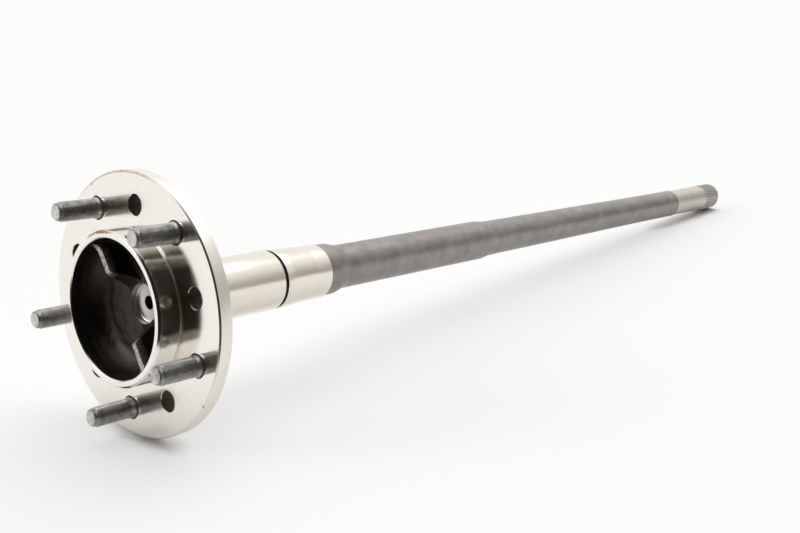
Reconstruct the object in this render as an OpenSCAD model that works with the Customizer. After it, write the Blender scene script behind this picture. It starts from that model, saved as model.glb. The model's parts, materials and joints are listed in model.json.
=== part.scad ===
// Semi-floating rear axle shaft with a wheel flange and pressed-in wheel studs.
// The shaft lies as it rests on a floor, on the flange rim and on its splined end.
// Origin: centre of the wheel face. +X runs along the shaft, +Z is up, sizes in millimetres.

/* [Flange] */
// Diameter of the wheel flange
flange_d = 188; // [182:1:220]
// Thickness of the wheel flange
flange_t = 11; // [9:0.5:16]
// Chamfer on both edges of the flange rim
rim_chamfer = 1; // [0.5:0.1:2]

/* [Hub pilot and cup] */
// Diameter of the pilot that centres the wheel
pilot_d = 109; // [106:0.5:116]
// Height of the pilot in front of the wheel face
pilot_h = 18; // [14:0.5:26]
// Chamfer on the outer edge of the pilot
pilot_chamfer = 1.5; // [0.5:0.1:2.5]
// Width of the grinding relief at the root of the pilot
relief_w = 1.6; // [0.8:0.1:3]
// Depth of the grinding relief at the root of the pilot
relief_depth = 0.6; // [0.2:0.1:1]
// Diameter of the cup at its mouth
cup_mouth_d = 98; // [92:0.5:101]
// Chamfer on the mouth of the cup
cup_chamfer = 0.8; // [0.3:0.1:1.5]
// Depth of the turned land inside the mouth
cup_land_depth = 9; // [5:0.5:12]
// Draft of the forged wall below the land, in degrees
cup_draft = 10; // [5:1:15]
// Depth of the cup floor at the wall, from the pilot's front edge
cup_depth = 24; // [20:0.5:28]
// Extra depth of the floor at the centre
cup_dish = 3; // [1:0.5:5]
// Fillet between the forged wall and the floor
cup_fillet = 6; // [3:0.5:8]

/* [Web across the cup] */
// Depth of the web's flat top below the pilot's front edge
web_drop = 8; // [5:0.5:12]
// Thickness of the web at its top
web_t = 5; // [4:0.5:9]
// Draft of the web's sides, in degrees
web_draft = 9; // [5:1:14]
// Clear span between the two flat tops of the web
web_span = 52; // [46:1:64]

/* [Centre] */
// Diameter of the spot face at the centre
spot_d = 29; // [24:0.5:34]
// Depth of the spot face below the cup floor
spot_depth = 4.5; // [2:0.5:7]
// Diameter of the lathe centre hole
centre_d = 10; // [6:0.5:14]
// Depth of the straight part of the lathe centre hole
centre_depth = 10; // [6:0.5:16]

/* [Wheel studs] */
// Number of wheel studs
stud_count = 5; // [4:1:6]
// Pitch circle diameter of the wheel studs
stud_pcd = 150; // [144:0.5:154]
// Thread diameter of a stud
stud_d = 14; // [12:0.5:16]
// Reach of a stud in front of the wheel face
stud_reach = 33; // [26:0.5:50]
// Diameter of the serrated shank and of its hole in the flange
shank_d = 15.4; // [14.5:0.1:17]
// Height of the shank's end in front of the wheel face
shank_step = 1.4; // [0.6:0.1:3]
// Chamfer on the tip of a stud
tip_chamfer = 1.8; // [0.8:0.1:2.5]
// Diameter of a stud's head
head_d = 23; // [19:0.5:26]
// Thickness of a stud's head
head_t = 4.5; // [3:0.5:7]
// Countersink round each stud hole
stud_sink = 0.9; // [0.3:0.1:1.5]
// Turn of the stud circle about the axle, from one stud straight down
stud_turn = 1.2; // [-36:0.1:36]

/* [Access holes] */
// Diameter of the plain holes between the studs
access_d = 15; // [11:0.5:18]
// Pitch circle diameter of the plain holes
access_pcd = 142; // [140:0.5:150]
// Countersink on the back end of a plain hole
access_sink = 0.6; // [0.2:0.1:1.2]

/* [Back of the hub] */
// Diameter of the cone behind the flange, where it leaves the flange
cone_base_d = 108; // [100:1:118]
// Length of the cone behind the flange
cone_l = 26; // [20:0.5:34]
// Diameter of the shoulder that the bearing stands against
shoulder_d = 60; // [54:0.5:66]
// Length of the bearing shoulder
shoulder_l = 8; // [4:0.5:14]
// Fillet between the flange and the cone
back_fillet = 4; // [2:0.5:6]

/* [Bearing seats] */
// Diameter of the bearing seat
bearing_d = 46.5; // [44:0.1:50]
// Distance from the wheel face to the ring groove
groove_at = 122; // [100:0.5:130]
// Width of the ring groove
groove_w = 3.2; // [1.5:0.1:4]
// Depth of the ring groove below the land past it
groove_depth = 1.3; // [0.4:0.1:2]
// Diameter of the land past the ring groove
land_d = 46.1; // [44.2:0.1:49]
// Length of the land past the ring groove
land_l = 17; // [4:0.5:20]
// Length of the cone from that land to the collar seat
land_lead = 8; // [4:0.5:12]
// Diameter of the collar seat
collar_d = 43.4; // [41:0.1:44]
// Distance from the wheel face to the end of the collar seat
collar_end = 174; // [150:0.5:190]
// Chamfer on the ends of the shoulder, the collar seat and the turned band
seat_chamfer = 0.8; // [0.3:0.1:1.5]

/* [Shaft] */
// Distance from the wheel face to the splined end
shaft_l = 870; // [780:1:1000]
// Diameter of the shaft's thick part
shaft_d = 36.2; // [34:0.1:40]
// Length of the forged shoulder past the collar seat
raw_l = 12; // [4:0.5:20]
// Length of the cone from the forged shoulder to the thick part
lead_l = 12; // [6:0.5:20]
// Distance from the wheel face to the step
step_at = 386; // [300:1:420]
// Length of the step's cone
step_l = 12; // [6:0.5:20]
// Diameter of the thin part just after the step
thin_d = 33; // [31.5:0.1:33.8]
// Diameter of the thin part at its far end
thin_end_d = 30.4; // [30.2:0.1:31.4]
// Distance from the wheel face to where the thin part stops tapering
taper_end = 690; // [600:1:710]

/* [Spline] */
// Number of spline teeth
spline_teeth = 30; // [24:1:36]
// Diameter over the spline teeth
spline_d = 30.2; // [29.6:0.1:30.8]
// Depth of a spline tooth
tooth_depth = 1.3; // [0.8:0.1:1.8]
// Length of the spline
spline_l = 34; // [26:1:60]
// Length of the turned band before the spline
band_l = 73; // [20:1:75]
// Depth of the turned band below the spline's outside
band_depth = 0.4; // [0.2:0.1:0.7]
// Chamfer on the splined end
end_chamfer = 1.6; // [0.8:0.1:2.5]
// Diameter of the lathe centre in the splined end
end_centre_d = 6; // [3:0.5:10]

/* [Hidden] */
$fn = 96;
cut = 1;
arc_steps = 8;

flange_r = flange_d / 2;
pilot_r = pilot_d / 2;
mouth_r = cup_mouth_d / 2;
spot_r = spot_d / 2;
stud_r = stud_d / 2;
shank_r = shank_d / 2;
head_r = head_d / 2;
access_r = access_d / 2;
cone_base_r = cone_base_d / 2;
shoulder_r = shoulder_d / 2;
bearing_r = bearing_d / 2;
ring_land_r = land_d / 2;
collar_r = collar_d / 2;
raw_r = collar_r - seat_chamfer;
shaft_r = shaft_d / 2;
thin_r = thin_d / 2;
thin_end_r = thin_end_d / 2;
spline_r = spline_d / 2;
band_r = spline_r - band_depth;
root_r = spline_r - tooth_depth;
groove_r = ring_land_r - groove_depth;

// Depth of the grinding relief in the wheel face, and its reach past the pilot
relief_face = relief_depth / 2;

// Places along the axle, measured from the wheel face
lip_z = -pilot_h;
land_z = lip_z + cup_land_depth;
floor_z = lip_z + cup_depth;
dish_z = floor_z + cup_dish;
web_z = lip_z + web_drop;
spot_z = dish_z + spot_depth;
cone_end = flange_t + cone_l;
shoulder_end = cone_end + shoulder_l;
ring_land_at = groove_at + groove_w;
ring_land_end = ring_land_at + land_l;
collar_at = ring_land_end + land_lead;
lead_at = collar_end + raw_l;
spline_at = shaft_l - spline_l;
band_at = spline_at - band_l;

// Radius of the forged wall where it would meet the flat floor
wall_foot_r = mouth_r - (floor_z - land_z) * tan(cup_draft);

// Slope at which the axle lies on the rim's back edge and on the splined end
lie_drop = flange_r - spline_r;
lie_run = (shaft_l - end_chamfer) - (flange_t - rim_chamfer);
lie_tilt = atan2(lie_drop, lie_run);

// Direction of the web: it lines up with the stud two places on from the lowest one
web_turn = stud_turn + 2 * 360 / stud_count;

// Points of an arc about a centre, from one angle to another
function arc(centre, r, a0, a1) =
    [for (i = [0:arc_steps]) let (a = a0 + (a1 - a0) * i / arc_steps)
        centre + r * [cos(a), sin(a)]];

// Lays the axle down: local +Z becomes the shaft's direction, local +X points down
module lay_down() {
    rotate([0, 90 + lie_tilt, 0])
        children();
}

// Copies a piece round the axle, with one copy turned by the start angle
module around(count, radius, start) {
    for (i = [0:count - 1])
        rotate([0, 0, start + i * 360 / count])
            translate([radius, 0, 0])
                children();
}

// Half section of the forging from the pilot to the turned band, with no cup
module shaft_section() {
    cone_slope = atan2(cone_l, cone_base_r - shoulder_r);
    // The fillet touches the flange's back and the cone
    fillet_z = flange_t + back_fillet;
    fillet_r = cone_base_r + back_fillet * tan(cone_slope / 2);
    polygon(concat(
        [
            [0, lip_z],
            [pilot_r - pilot_chamfer, lip_z],
            [pilot_r, lip_z + pilot_chamfer],
            [pilot_r, -relief_w],
            [pilot_r - relief_depth, -relief_w],
            [pilot_r - relief_depth, relief_face],
            [pilot_r + relief_face, relief_face],
            [pilot_r + relief_face, 0],
            [flange_r - rim_chamfer, 0],
            [flange_r, rim_chamfer],
            [flange_r, flange_t - rim_chamfer],
            [flange_r - rim_chamfer, flange_t]
        ],
        arc([fillet_r, fillet_z], back_fillet, 270, 270 - cone_slope),
        [
            [shoulder_r, cone_end],
            [shoulder_r, shoulder_end - seat_chamfer],
            [shoulder_r - seat_chamfer, shoulder_end],
            [bearing_r, shoulder_end],
            [bearing_r, groove_at],
            [groove_r, groove_at],
            [groove_r, ring_land_at],
            [ring_land_r, ring_land_at],
            [ring_land_r, ring_land_end],
            [collar_r, collar_at],
            [collar_r, collar_end - seat_chamfer],
            [raw_r, collar_end],
            [raw_r, lead_at],
            [shaft_r, lead_at + lead_l],
            [shaft_r, step_at],
            [thin_r, step_at + step_l],
            [thin_end_r, taper_end],
            [thin_end_r, band_at],
            [band_r, band_at + seat_chamfer],
            [band_r, spline_at],
            [root_r, spline_at],
            [root_r, shaft_l],
            [0, shaft_l]
        ]));
}

// Half section of the hollow inside the pilot
module cup_section() {
    // Centre of the fillet between the drafted wall and the floor
    fillet_z = floor_z - cup_fillet;
    fillet_r = wall_foot_r + cup_fillet * tan(cup_draft) - cup_fillet / cos(cup_draft);
    polygon(concat(
        [
            [0, lip_z - cut],
            [mouth_r + cup_chamfer + cut, lip_z - cut],
            [mouth_r, lip_z + cup_chamfer],
            [mouth_r, land_z]
        ],
        arc([fillet_r, fillet_z], cup_fillet, cup_draft, 90),
        [
            [spot_r, dish_z],
            [0, dish_z]
        ]));
}

// Web across the cup: its side view crossed with its drafted section
module cup_web() {
    reach = (mouth_r + pilot_r) / 2;
    base_z = dish_z + cut;
    half_top = web_t / 2;
    half_base = half_top + (base_z - web_z) * tan(web_draft);
    foot_r = spot_r + cut;
    rotate([0, 0, web_turn])
        intersection() {
            rotate([90, 0, 0])
                linear_extrude(4 * half_base, center = true)
                    polygon([
                        [-reach, base_z],
                        [-reach, web_z],
                        [-web_span / 2, web_z],
                        [-foot_r, dish_z],
                        [foot_r, dish_z],
                        [web_span / 2, web_z],
                        [reach, web_z],
                        [reach, base_z]
                    ]);
            rotate([90, 0, 90])
                linear_extrude(2 * reach, center = true)
                    polygon([
                        [-half_base, base_z],
                        [-half_top, web_z],
                        [half_top, web_z],
                        [half_base, base_z]
                    ]);
        }
}

// Spot face and lathe centre hole at the bottom of the cup
module centre_cut() {
    centre_r = centre_d / 2;
    straight_end = spot_z + centre_depth;
    rotate_extrude()
        polygon([
            [0, dish_z - cut],
            [spot_r, dish_z - cut],
            [spot_r, spot_z],
            [centre_r, spot_z],
            [centre_r, straight_end],
            [0, straight_end + centre_r * tan(30)]
        ]);
}

// Lathe centre in the splined end: a cone that holds the tailstock, with a pilot below it
module end_centre() {
    drill_r = end_centre_d * 0.2;
    cone_depth = (end_centre_d / 2 - drill_r) / tan(30);
    rotate_extrude()
        polygon([
            [0, shaft_l + cut],
            [end_centre_d / 2 + cut * tan(30), shaft_l + cut],
            [drill_r, shaft_l - cone_depth],
            [drill_r, shaft_l - cone_depth - end_centre_d / 2],
            [0, shaft_l - cone_depth - end_centre_d / 2]
        ]);
}

// Hole through the flange with a countersink on its front or its back
module flange_hole(r, front_sink, back_sink) {
    translate([0, 0, -cut])
        cylinder(h = flange_t + 2 * cut, r = r);
    if (front_sink > 0)
        translate([0, 0, -cut])
            cylinder(h = front_sink + cut, r1 = r + front_sink + cut, r2 = r);
    if (back_sink > 0)
        translate([0, 0, flange_t - back_sink])
            cylinder(h = back_sink + cut, r1 = r, r2 = r + back_sink + cut);
}

// Cross section of the spline, with one tooth on the local X axis
module spline_section() {
    pitch = 360 / spline_teeth;
    tip_half = pitch * 0.15;
    root_half = pitch * 0.32;
    polygon([for (i = [0:spline_teeth - 1], corner = [
            [root_r, -root_half],
            [spline_r, -tip_half],
            [spline_r, tip_half],
            [root_r, root_half]
        ])
        corner[0] * [cos(i * pitch + corner[1]), sin(i * pitch + corner[1])]]);
}

// Splined end, with its chamfer turned across the teeth
module spline() {
    intersection() {
        translate([0, 0, spline_at])
            linear_extrude(spline_l)
                spline_section();
        rotate_extrude()
            polygon([
                [0, spline_at],
                [spline_r - tooth_depth / 2, spline_at],
                [spline_r + cut, spline_at + tooth_depth / 2 + cut],
                [spline_r + cut, shaft_l - end_chamfer - cut],
                [spline_r - end_chamfer, shaft_l],
                [0, shaft_l]
            ]);
    }
}

// One wheel stud: head behind the flange, shank through it, thread in front
module stud() {
    rotate_extrude()
        polygon([
            [0, -stud_reach],
            [stud_r - tip_chamfer, -stud_reach],
            [stud_r, tip_chamfer - stud_reach],
            [stud_r, -shank_step],
            [shank_r, -shank_step / 2],
            [shank_r, flange_t],
            [head_r, flange_t],
            [head_r, flange_t + head_t * 0.6],
            [head_r - head_t * 0.4, flange_t + head_t],
            [0, flange_t + head_t]
        ]);
}

// The forging: flange, pilot, cup, seats, shaft and spline in one piece
module axle_shaft() {
    color([0.50, 0.48, 0.46])
        lay_down()
            difference() {
                union() {
                    difference() {
                        rotate_extrude()
                            shaft_section();
                        rotate_extrude()
                            cup_section();
                    }
                    cup_web();
                    spline();
                }
                centre_cut();
                end_centre();
                around(stud_count, stud_pcd / 2, stud_turn)
                    flange_hole(shank_r, stud_sink, 0);
                around(stud_count, access_pcd / 2, stud_turn + 180 / stud_count)
                    flange_hole(access_r, 0, access_sink);
            }
}

// The wheel studs, pressed in from the back of the flange
module wheel_studs() {
    color([0.42, 0.42, 0.42])
        lay_down()
            around(stud_count, stud_pcd / 2, stud_turn)
                stud();
}

axle_shaft();
wheel_studs();
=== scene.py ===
"""Looks of a rear axle shaft: ground wheel flange, black forged cup and shaft, phosphated studs.

Sizes are millimetres in the axle's own frame: x points down, y to the side, and z runs along the
axle from the wheel face to the splined end. AxleFrame turns them into the row frame, in metres.
"""

from __future__ import annotations

import json
import logging
import math
from collections.abc import Sequence
from dataclasses import dataclass
from enum import Enum

import bmesh
import bpy
import numpy as np
from mathutils import Matrix, Vector, geometry, noise


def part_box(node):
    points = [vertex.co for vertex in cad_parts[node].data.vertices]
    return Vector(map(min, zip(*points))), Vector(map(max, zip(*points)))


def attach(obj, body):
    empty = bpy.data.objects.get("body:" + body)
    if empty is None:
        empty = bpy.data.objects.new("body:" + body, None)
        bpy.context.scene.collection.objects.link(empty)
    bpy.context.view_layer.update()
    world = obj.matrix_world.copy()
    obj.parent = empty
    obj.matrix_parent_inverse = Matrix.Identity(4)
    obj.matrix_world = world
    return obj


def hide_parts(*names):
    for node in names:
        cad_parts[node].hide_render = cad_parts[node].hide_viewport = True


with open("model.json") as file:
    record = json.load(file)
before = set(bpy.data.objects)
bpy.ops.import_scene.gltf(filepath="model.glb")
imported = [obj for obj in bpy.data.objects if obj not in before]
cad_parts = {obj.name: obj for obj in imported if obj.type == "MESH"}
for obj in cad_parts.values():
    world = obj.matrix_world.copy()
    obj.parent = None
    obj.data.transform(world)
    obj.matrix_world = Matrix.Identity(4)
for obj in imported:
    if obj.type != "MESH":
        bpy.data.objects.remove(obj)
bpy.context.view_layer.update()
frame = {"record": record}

LOG = logging.getLogger("axle_shaft")

METRES_PER_MM = 0.001
FULL_TURN = 2 * math.pi
ARC_STEPS = 5
ROUND_LIMIT = 0.48
HUB_SEGMENTS = 256
SHAFT_SEGMENTS = 144
HOLE_SEGMENTS = 64
MERGE_MM = 1e-6
HOLE_SLACK = 0.999
WELD_M = 2e-6
SHARP_EDGE = math.radians(32)
CENTRE_CONE = math.radians(30)
CREST = "crest"

# What several sub-assemblies share: the first stud's angle, and lengths in millimetres.
STUD_TURN = math.radians(1.2)
FLANGE_T = 11.0
SHANK_R = 7.7
RELIEF_REACH = 0.3

Colour = tuple[float, float, float]
Point = tuple[float, float, float]
Span = tuple[float, float]


def mount_of(name: str) -> dict:
    """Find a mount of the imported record.

    Args:
        name: The mount's name.

    Returns:
        The mount as the record states it.
    """
    return next(m for m in frame["record"]["mounts"] if m["name"] == name)


@dataclass(frozen=True)
class AxleFrame:
    """How the axle lies: its axis drops from the wheel face to the splined end by the tilt."""

    tilt: float

    @classmethod
    def from_record(cls) -> AxleFrame:
        """Read the tilt from the bearing seat's axis, which points to the splined end."""
        axis = mount_of("bearing_seat")["axis"]
        return cls(math.atan2(-axis[2], axis[0]))

    @property
    def turn(self) -> float:
        """Turn about the row's Y axis that lays the axle down."""
        return math.pi / 2 + self.tilt

    def to_row(self, points: np.ndarray) -> np.ndarray:
        """Turn points of the axle's frame into the row frame.

        Args:
            points: An array of points in millimetres, one a row.

        Returns:
            The points in metres.
        """
        lay_down = np.array(Matrix.Rotation(self.turn, 3, "Y"))
        return points @ lay_down.T * METRES_PER_MM

    def station(self, mount: str) -> float:
        """Distance of a mount's point from the wheel face along the axle, in millimetres."""
        along = Vector((math.cos(self.tilt), 0.0, -math.sin(self.tilt)))
        return Vector(mount_of(mount)["pos_m"]).dot(along) / METRES_PER_MM


class Wire:
    """A socket's value inside a material. Python's operators on it add Math nodes."""

    def __init__(self, graph: Graph, socket: bpy.types.NodeSocket) -> None:
        """Hold the graph and the output socket."""
        self.graph = graph
        self.socket = socket

    def __add__(self, other: Wire | float) -> Wire:
        """Sum of two values."""
        return self.graph.math("ADD", self, other)

    def __radd__(self, other: float) -> Wire:
        """Sum with a number on the left."""
        return self.graph.math("ADD", other, self)

    def __sub__(self, other: Wire | float) -> Wire:
        """Difference of two values."""
        return self.graph.math("SUBTRACT", self, other)

    def __rsub__(self, other: float) -> Wire:
        """A number less this value."""
        return self.graph.math("SUBTRACT", other, self)

    def __mul__(self, other: Wire | float) -> Wire:
        """Product of two values."""
        return self.graph.math("MULTIPLY", self, other)

    def __rmul__(self, other: float) -> Wire:
        """Product with a number on the left."""
        return self.graph.math("MULTIPLY", other, self)

    def __truediv__(self, other: Wire | float) -> Wire:
        """Quotient of two values."""
        return self.graph.math("DIVIDE", self, other)

    def __rtruediv__(self, other: float) -> Wire:
        """A number over this value."""
        return self.graph.math("DIVIDE", other, self)

    def larger(self, other: Wire) -> Wire:
        """The larger of two values."""
        return self.graph.math("MAXIMUM", self, other)

    def clamped(self) -> Wire:
        """The value held between 0 and 1."""
        return self.graph.node("ShaderNodeClamp", {}, {"Value": self})

    def centred(self) -> Wire:
        """Noise from 0 to 1, shifted so that it sways about 0."""
        return self - 0.5

    def rise(self, low: float, high: float) -> Wire:
        """Smooth step over this value.

        Args:
            low: Where the step is still 0.
            high: Where it reaches 1. It may be below low, for a falling step.

        Returns:
            A value from 0 to 1.
        """
        limits = {"Value": self, "From Min": low, "From Max": high}
        return self.graph.node("ShaderNodeMapRange", {"interpolation_type": "SMOOTHSTEP"}, limits)


Sockets = dict[str | int, Wire | float | tuple]


@dataclass(frozen=True)
class Grain:
    """Noise in space: width of a lump in millimetres, number and strength of its finer layers."""

    size: float
    layers: float = 4.0
    strength: float = 0.55


class Graph:
    """A node tree, with one method that adds any node."""

    def __init__(self, tree: bpy.types.NodeTree) -> None:
        """Start with an empty tree."""
        self.tree = tree
        tree.nodes.clear()

    @staticmethod
    def find(sockets: bpy.types.bpy_prop_collection, key: str | int) -> bpy.types.NodeSocket:
        """Find a socket by its place, its identifier or its name.

        Args:
            sockets: A node's inputs or outputs.
            key: The place, identifier or name.

        Returns:
            The socket.
        """
        if isinstance(key, int):
            return sockets[key]
        return next(s for s in sockets if key in (s.identifier, s.name))

    def add(self, kind: str, settings: dict[str, object], sockets: Sockets) -> bpy.types.Node:
        """Add a node.

        Args:
            kind: The node's type.
            settings: Its own settings, which are set first.
            sockets: The value or link of each input, by place, identifier or name.

        Returns:
            The node.
        """
        made = self.tree.nodes.new(kind)
        for name, value in settings.items():
            setattr(made, name, value)
        for key, value in sockets.items():
            target = self.find(made.inputs, key)
            if isinstance(value, Wire):
                self.tree.links.new(value.socket, target)
            else:
                target.default_value = value
        return made

    def node(
        self, kind: str, settings: dict[str, object], sockets: Sockets, out: str | int = 0
    ) -> Wire:
        """Add a node and take one of its outputs.

        Args:
            kind: The node's type.
            settings: Its own settings.
            sockets: The value or link of each input.
            out: The output's place, identifier or name.

        Returns:
            That output.
        """
        return Wire(self, self.find(self.add(kind, settings, sockets).outputs, out))

    def math(self, operation: str, *values: Wire | float) -> Wire:
        """A Math node on the given values."""
        return self.node("ShaderNodeMath", {"operation": operation}, dict(enumerate(values)))

    def mix(self, share: Wire, first: Wire | Colour, second: Wire | Colour) -> Wire:
        """Blend two colours.

        Args:
            share: How much of the second colour shows.
            first: The first colour.
            second: The second colour.

        Returns:
            The blended colour.
        """
        sockets = {"Factor_Float": share, "A_Color": opaque(first), "B_Color": opaque(second)}
        return self.node("ShaderNodeMix", {"data_type": "RGBA"}, sockets, "Result_Color")

    def lumps(self, place: Wire, grain: Grain) -> Wire:
        """Noise in space.

        Args:
            place: The point, in millimetres.
            grain: The noise's size and layers.

        Returns:
            A value from 0 to 1, about 0.5 in the middle.
        """
        sockets = {
            "Vector": place,
            "Scale": 1 / grain.size,
            "Detail": grain.layers,
            "Roughness": grain.strength,
        }
        return self.node("ShaderNodeTexNoise", {"noise_dimensions": "3D"}, sockets)

    def lines(self, across: Wire, pitch: float, layers: float) -> Wire:
        """Noise along one measure, for tool marks.

        Args:
            across: The measure across the marks, in millimetres.
            pitch: Width of a mark, in millimetres.
            layers: Number of finer layers.

        Returns:
            A value from 0 to 1, about 0.5 in the middle.
        """
        sockets = {"W": across, "Scale": 1 / pitch, "Detail": layers}
        return self.node("ShaderNodeTexNoise", {"noise_dimensions": "1D"}, sockets)

    def crest(self) -> Wire:
        """How far the shaded point stands proud, from the mesh's crest attribute."""
        return self.node("ShaderNodeAttribute", {"attribute_name": CREST}, {}, "Fac")

    def ray(self, kind: str) -> Wire:
        """1 for a ray of the kind, such as Camera or Glossy, and 0 for any other."""
        return self.node("ShaderNodeLightPath", {}, {}, f"Is {kind} Ray")

    def bump(self, height: Wire, depth_mm: float) -> Wire:
        """Surface normal of a relief, whose heights from 0 to 1 make the depth."""
        sockets = {"Strength": 1.0, "Distance": depth_mm * METRES_PER_MM, "Height": height}
        return self.node("ShaderNodeBump", {}, sockets)


def opaque(colour: Wire | Colour) -> Wire | tuple[float, float, float, float]:
    """A plain colour with full alpha, or the link as it is."""
    return colour if isinstance(colour, Wire) else (*colour, 1.0)


@dataclass(frozen=True)
class AxlePlace:
    """Where a shaded point is on the axle, in millimetres."""

    point: Wire
    radius: Wire
    angle: Wire
    station: Wire

    @classmethod
    def of(cls, graph: Graph, axle: AxleFrame) -> AxlePlace:
        """Read the place from the object's own coordinates, which are the row frame's.

        Args:
            graph: The material's nodes.
            axle: How the axle lies.

        Returns:
            The place.
        """
        row = graph.node("ShaderNodeTexCoord", {}, {}, "Object")
        turned_back = {
            "Vector": row,
            "Rotation": (0.0, -axle.turn, 0.0),
            "Scale": (1 / METRES_PER_MM,) * 3,
        }
        point = graph.node("ShaderNodeMapping", {"vector_type": "POINT"}, turned_back)
        x, y, z = (graph.node("ShaderNodeSeparateXYZ", {}, {0: point}, name) for name in "XYZ")
        radius = graph.math("SQRT", x * x + y * y)
        return cls(point, radius, graph.math("ARCTAN2", y, x), z)


class ToolLay(Enum):
    """Which way a cutting tool's marks run on the steel."""

    RINGS = "rings round the axle"
    LENGTHWISE = "lines along the axle"


class RustMark:
    """A place where bare steel has begun to rust, in millimetres in the axle's frame."""

    def share(self, graph: Graph, place: AxlePlace) -> Wire:
        """How much of the steel may rust at the shaded point.

        Args:
            graph: The material's nodes.
            place: Where the shaded point is on the axle.

        Returns:
            A value from 0 to 1.
        """
        raise NotImplementedError


@dataclass(frozen=True)
class RustSpot(RustMark):
    """A round spot with a ragged edge, full over a core that is a share of its size."""

    centre: Point
    size: float
    core: float = 0.25
    ragged: Grain = Grain(5.0, 2.0)

    def share(self, graph: Graph, place: AxlePlace) -> Wire:
        """Full in the middle and fading out at the size.

        Args:
            graph: The material's nodes.
            place: Where the shaded point is on the axle.

        Returns:
            A value from 0 to 1.
        """
        sockets = {0: place.point, 1: self.centre}
        away = graph.node("ShaderNodeVectorMath", {"operation": "DISTANCE"}, sockets, "Value")
        uneven = graph.lumps(place.point, self.ragged).centred()
        return (away / self.size + uneven).rise(1.0, self.core)


@dataclass(frozen=True)
class RustyEdge(RustMark):
    """A stretch of a turned edge, full over a core that is a share of its width."""

    r: float
    z: float
    width: float
    middle: float
    half_turn: float
    core: float = 1 / 3

    def share(self, graph: Graph, place: AxlePlace) -> Wire:
        """Full on the edge, and fading out beside it and over the outer half of each end.

        Args:
            graph: The material's nodes.
            place: Where the shaded point is on the axle.

        Returns:
            A value from 0 to 1.
        """
        off_r, off_z = place.radius - self.r, place.station - self.z
        away = graph.math("SQRT", off_r * off_r + off_z * off_z)
        along = graph.math("COSINE", place.angle - self.middle)
        ends = along.rise(math.cos(self.half_turn), math.cos(self.half_turn / 2))
        return away.rise(self.width, self.width * self.core) * ends


class Finish:
    """A surface finish, made as one material."""

    def nodes(self, graph: Graph, place: AxlePlace) -> Sockets:
        """Work out the shader's sockets.

        Args:
            graph: The material's nodes.
            place: Where the shaded point is on the axle.

        Returns:
            The value or link of each socket of the shader.
        """
        raise NotImplementedError

    def material(self, name: str, axle: AxleFrame) -> bpy.types.Material:
        """Make the material.

        Args:
            name: The material's name.
            axle: How the axle lies.

        Returns:
            The material.
        """
        made = bpy.data.materials.new(name)
        made.use_nodes = True
        graph = Graph(made.node_tree)
        sockets = self.nodes(graph, AxlePlace.of(graph, axle))
        shader = graph.node("ShaderNodeBsdfPrincipled", {}, sockets)
        graph.add("ShaderNodeOutputMaterial", {}, {"Surface": self.surface(graph, shader)})
        return made

    def surface(self, graph: Graph, shader: Wire) -> Wire:
        """The shader as the surface shows it, which is as it is for a plain finish."""
        return shader


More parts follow.
